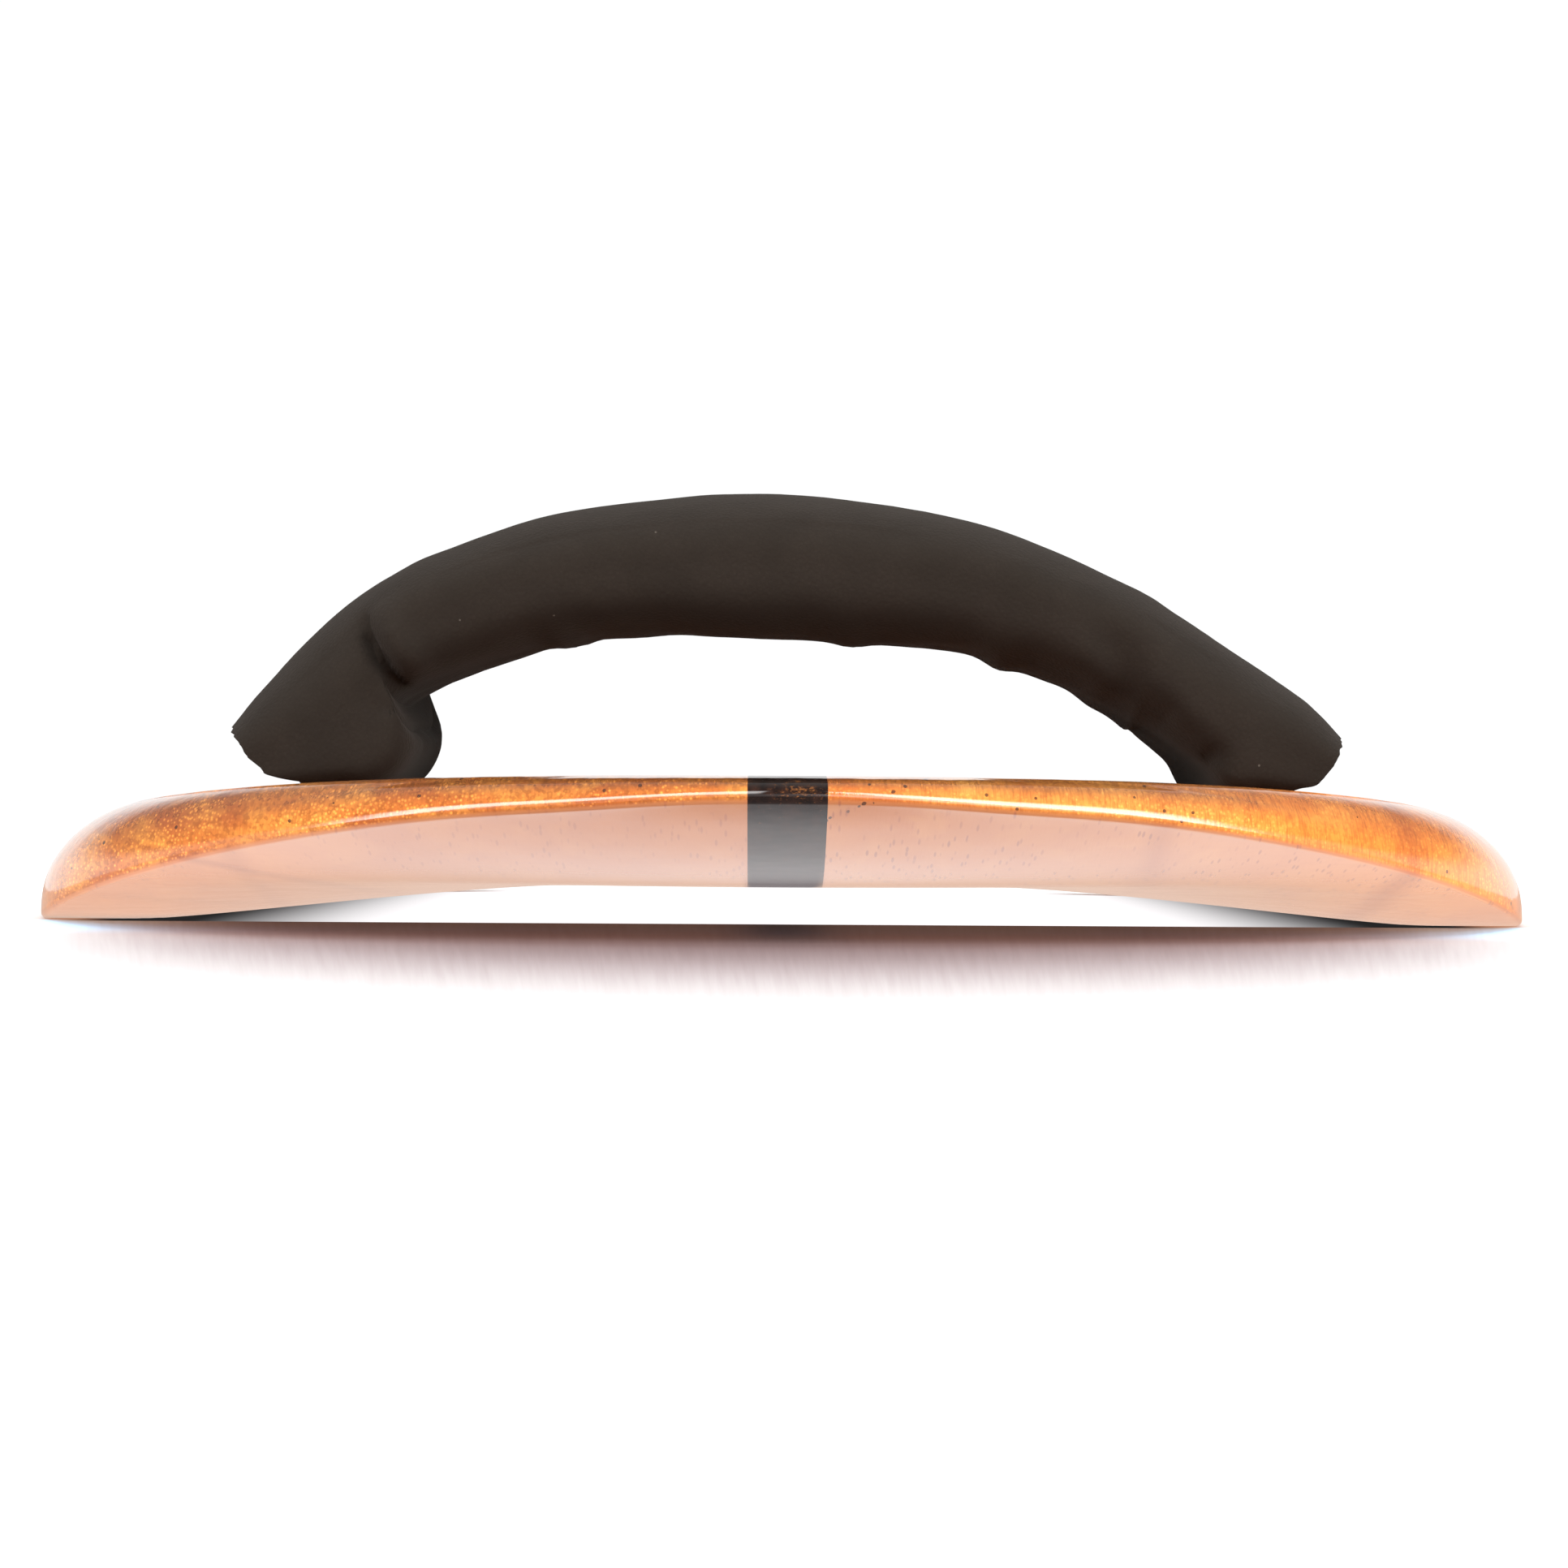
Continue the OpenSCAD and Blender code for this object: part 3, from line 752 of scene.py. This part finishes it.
CAD_LOOKS = {"clamp_bar": steel, "washer": steel, "screw": bright_steel, "insert": brass}
for node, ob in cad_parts.items():
    for end, mat in CAD_LOOKS.items():
        if node.endswith(end):
            ob.data.materials.clear()
            ob.data.materials.append(mat)

# ---------------------------------------------------------------- floor
SHADE_Y = -62.0  # the shade in front of the board starts here, and the bright gap under it lies behind
SHADE_L, SHADE_HALF_W = 240.0, 96.0  # how far the shade reaches to the front and to each side
FAN_Y, FAN_SCALE = 650.0, 550.0  # the shade's streaks spread from a point this far in front of the board
WHITE = 0.56  # the paper's brightness, away from the shade


def paper_with_painted_shade(t, x, y, wide):
    """White paper, with the board's soft, streaked, warm shade painted into its colour in front of it."""
    ahead = t.math("DIVIDE", t.line(y, -1.0, SHADE_Y), SHADE_L)
    spread = t.line(t.math("POWER", t.math("DIVIDE", x, 100.0), 2.0), 1.2, ahead)
    sides = t.math("POWER", t.math("DIVIDE", wide, SHADE_HALF_W), 6.0)
    reach = t.math("SQRT", t.math("ADD", t.times(ahead, spread), sides))
    shade = t.ramp(reach, 0.30, 1.22, 0.17, 1.0)
    fan = t.node("ShaderNodeCombineXYZ")
    t.put(fan.inputs[0], t.times(t.math("DIVIDE", x, t.math("ADD", y, FAN_Y)), FAN_SCALE))
    t.put(fan.inputs[1], t.times(y, 0.01))
    streaks = t.math("SUBTRACT", t.noise(fan.outputs[0], 1.0, 2, 0.6), 0.5)
    streaks = t.line(streaks, t.ramp(shade, 0.5, 1.0, 0.3, 0), 1.0)
    shade = t.math("MAXIMUM", t.times(shade, streaks), t.ramp(y, SHADE_Y, -50))
    # the painted shade is warm, for the light the wood throws onto the floor, and less warm right beside the
    # board
    cool = t.times(t.ramp(y, -120, -75), t.ramp(y, SHADE_Y, -55, 1, 0))
    tint = t.node("ShaderNodeCombineColor")
    for i, (power, cooler) in enumerate(((0.86, 0.0), (1.07, 0.7), (1.06, 1.3))):
        t.put(tint.inputs[i], t.times(t.math("POWER", shade, power), t.line(cool, WHITE * cooler, WHITE)))
    return t.principled(Base_Color=tint.outputs[0], Roughness=0.8, Specular_IOR_Level=0.2)


def under_board(t, y, wide):
    """1 where the floor under the board glows with painted light, and beside its middle only inside its
    outline.
    """
    gap = t.times(t.math("GREATER_THAN", y, SHADE_Y + 0.5), t.ramp(y, 155, 200, 1, 0))
    gap = t.times(t.ramp(wide, 88, 96, 1, 0), gap)
    aft = t.math("DIVIDE", t.math("ADD", y, -WIDE_Y), TAIL_L)
    aft = t.math("POWER", t.math("MAXIMUM", aft, 0.0), TAIL_POWER)
    outline = t.math("ADD", t.math("POWER", t.math("DIVIDE", wide, HALF_W), 2.0), aft)
    return t.times(gap, t.math("MAXIMUM", t.ramp(outline, 0.86, 0.97, 1, 0), t.ramp(wide, 45, 55, 1, 0)))


def floor_glow(t, x, y, wide, rays):
    """What the floor sends out: to the camera under the board, and to the varnish and the wood."""
    glossy, seen = rays["Is Glossy Ray"], rays["Is Camera Ray"]
    # the varnish mirrors white floor in front, and under the board light that the wood has tinted
    tinted = t.mix(t.ramp(wide, 4.0, 5.5), (0.40, 0.36, 0.37), (0.86, 0.655, 0.55))
    colour = t.mix(t.times(glossy, t.ramp(y, -112, -75)), (1.0, 0.97, 0.98), tinted)
    outward = t.ramp(wide, 40, 95)
    mirrored = t.times(t.ramp(y, -115, -65, 1.3, 0.95), t.line(outward, -0.15, 1.0))
    shadow = t.times(t.ramp(y, -185, -172), t.ramp(y, -140, -124, 1, 0))  # the dark floor under the nose
    mirrored = t.times(mirrored, t.line(shadow, -0.8, 1.0))
    card = t.times(t.ramp(x, 8, 22), t.ramp(y, -190, -165, 5.0, 0))  # a bright card, front right
    mirrored = t.math("ADD", mirrored, card)
    soft = t.line(outward, 1.4, 1.6)
    bright = t.math("ADD", t.times(glossy, mirrored), t.times(t.rest(glossy), soft))
    # to the camera the floor under the board glows with painted light, fading to a painted dark shade towards
    # the rails
    gap = t.times(seen, t.ramp(wide, 50, 79, 1.1, 0.02))
    glow = t.node("ShaderNodeEmission")
    t.put(glow.inputs["Color"], colour)
    t.put(glow.inputs["Strength"], t.mix(seen, bright, gap))
    return glow.outputs[0]


def floor_material():
    m, t = material("floor")
    rays = t.node("ShaderNodeLightPath").outputs
    x, y, _ = t.place()
    wide = t.math("ABSOLUTE", x)
    lit = t.node("ShaderNodeMixShader")
    t.put(lit.inputs[0], t.math("MAXIMUM", under_board(t, y, wide), t.rest(rays["Is Camera Ray"])))
    t.put(lit.inputs[1], paper_with_painted_shade(t, x, y, wide))
    t.put(lit.inputs[2], floor_glow(t, x, y, wide, rays))
    t.finish(lit.outputs[0])
    return m


bpy.ops.mesh.primitive_plane_add(size=12)
floor = bpy.context.object
floor.name = "floor"
floor.data.materials.append(floor_material())


# ---------------------------------------------------------------- sky
def softbox(w, azimuth, elevation, right):
    """A long softbox in front of the board, higher and thinner to the left, with a gap in its middle."""
    middle = w.math("ARCTANGENT", w.times(w.math("COSINE", azimuth), w.line(right, -0.42, 0.70)))
    half_h = w.line(w.ramp(azimuth, -0.6, -0.15), math.radians(14), math.radians(19))
    off = w.math("ABSOLUTE", w.math("SUBTRACT", elevation, middle))
    strip = w.times(w.ramp(w.math("DIVIDE", off, half_h), 0.4, 1.25, 1, 0),
                    w.ramp(w.math("ABSOLUTE", azimuth), 1.1, 1.5, 1, 0))
    gap = w.times(w.ramp(azimuth, math.radians(-7), math.radians(-4)),
                  w.ramp(azimuth, math.radians(10), math.radians(16), 1, 0))
    return w.times(strip, w.rest(gap))


def white_backdrop(w, azimuth, elevation, rays):
    """White round the horizon, dimmer behind the camera, and white everywhere to the camera itself."""
    backdrop = w.ramp(elevation, math.radians(5), math.radians(16), 1.02, 0.14)
    sides = w.ramp(w.math("ABSOLUTE", azimuth), math.radians(14), math.radians(24), 0.4, 1.0)
    backdrop = w.times(backdrop, w.math("MAXIMUM", sides, w.ramp(elevation, 0, 0.02, 1, 0)))
    return w.math("MAXIMUM", backdrop, w.times(rays["Is Camera Ray"], 1.02))


def studio():
    """The sky. Azimuth 0 is behind the camera, and it grows to the right."""
    world = bpy.data.worlds.new("studio")
    world.use_nodes = True
    w = Tree(world.node_tree)
    gx, gy, gz = w.parts(w.coords(source="Generated"))
    azimuth = w.math("ARCTAN2", gx, w.times(gy, -1.0))
    elevation = w.math("ARCSINE", gz)
    right = w.ramp(azimuth, 0.2, 0.45)
    rays = w.node("ShaderNodeLightPath").outputs
    # mirrored, the softbox is brighter than it lights; a soft ceiling lights and isn't mirrored
    strength = w.line(rays["Is Glossy Ray"], w.line(right, 3.5, 7.0), 8.0)
    strip = w.times(softbox(w, azimuth, elevation, right), strength)
    overhead = w.ramp(elevation, math.radians(35), math.radians(70))
    ceiling = w.times(overhead, w.times(rays["Is Diffuse Ray"], 3.2))
    sky = w.node("ShaderNodeBackground")
    sky.inputs["Color"].default_value = (1, 1, 1, 1)
    backdrop = white_backdrop(w, azimuth, elevation, rays)
    w.put(sky.inputs["Strength"], w.math("ADD", strip, w.math("ADD", backdrop, ceiling)))
    w.finish(sky.outputs[0], "ShaderNodeOutputWorld")
    return world


bpy.context.scene.world = studio()
